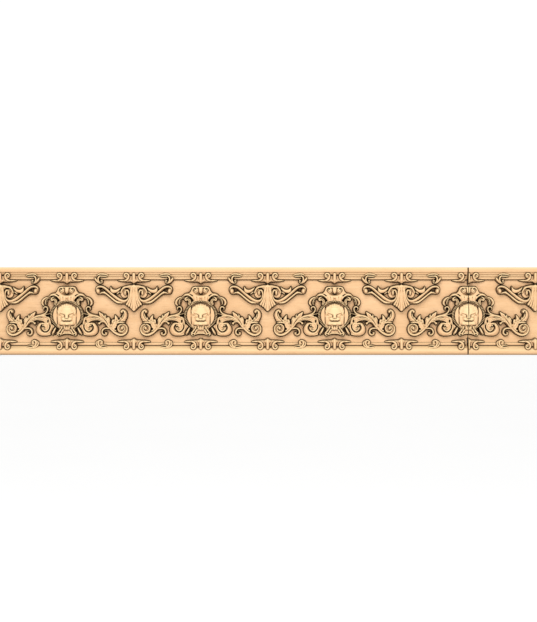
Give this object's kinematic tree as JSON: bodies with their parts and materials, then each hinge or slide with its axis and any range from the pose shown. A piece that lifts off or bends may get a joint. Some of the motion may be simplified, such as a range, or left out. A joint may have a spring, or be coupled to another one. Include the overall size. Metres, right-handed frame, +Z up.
{
  "type": "decorative frieze panel",
  "caption": "Carved wooden frieze in butted lengths, with lion roundels, acanthus scrolls, swags and moulded edges, to face a wall or furniture rail.",
  "frame": {"origin": "on the flat back, at mid-height, under the swag nearest the middle of the frieze", "axes": "+X along the frieze, to the right as seen from the front; +Y out of the flat back, towards what it is fixed to; +Z up"},
  "size_m": [0.988, 0.0292, 0.16],
  "materials": {
    "carved_wood": "pale warm carved wood, smooth, dull, with brown settled in the recesses",
    "carved_wood_short": "pale warm carved wood, smooth, dull, with brown settled in the recesses"
  },
  "bodies": {
    "root": {"frieze_long_length": "carved_wood", "frieze_short_length": "carved_wood_short"}
  },
  "joints": []
}
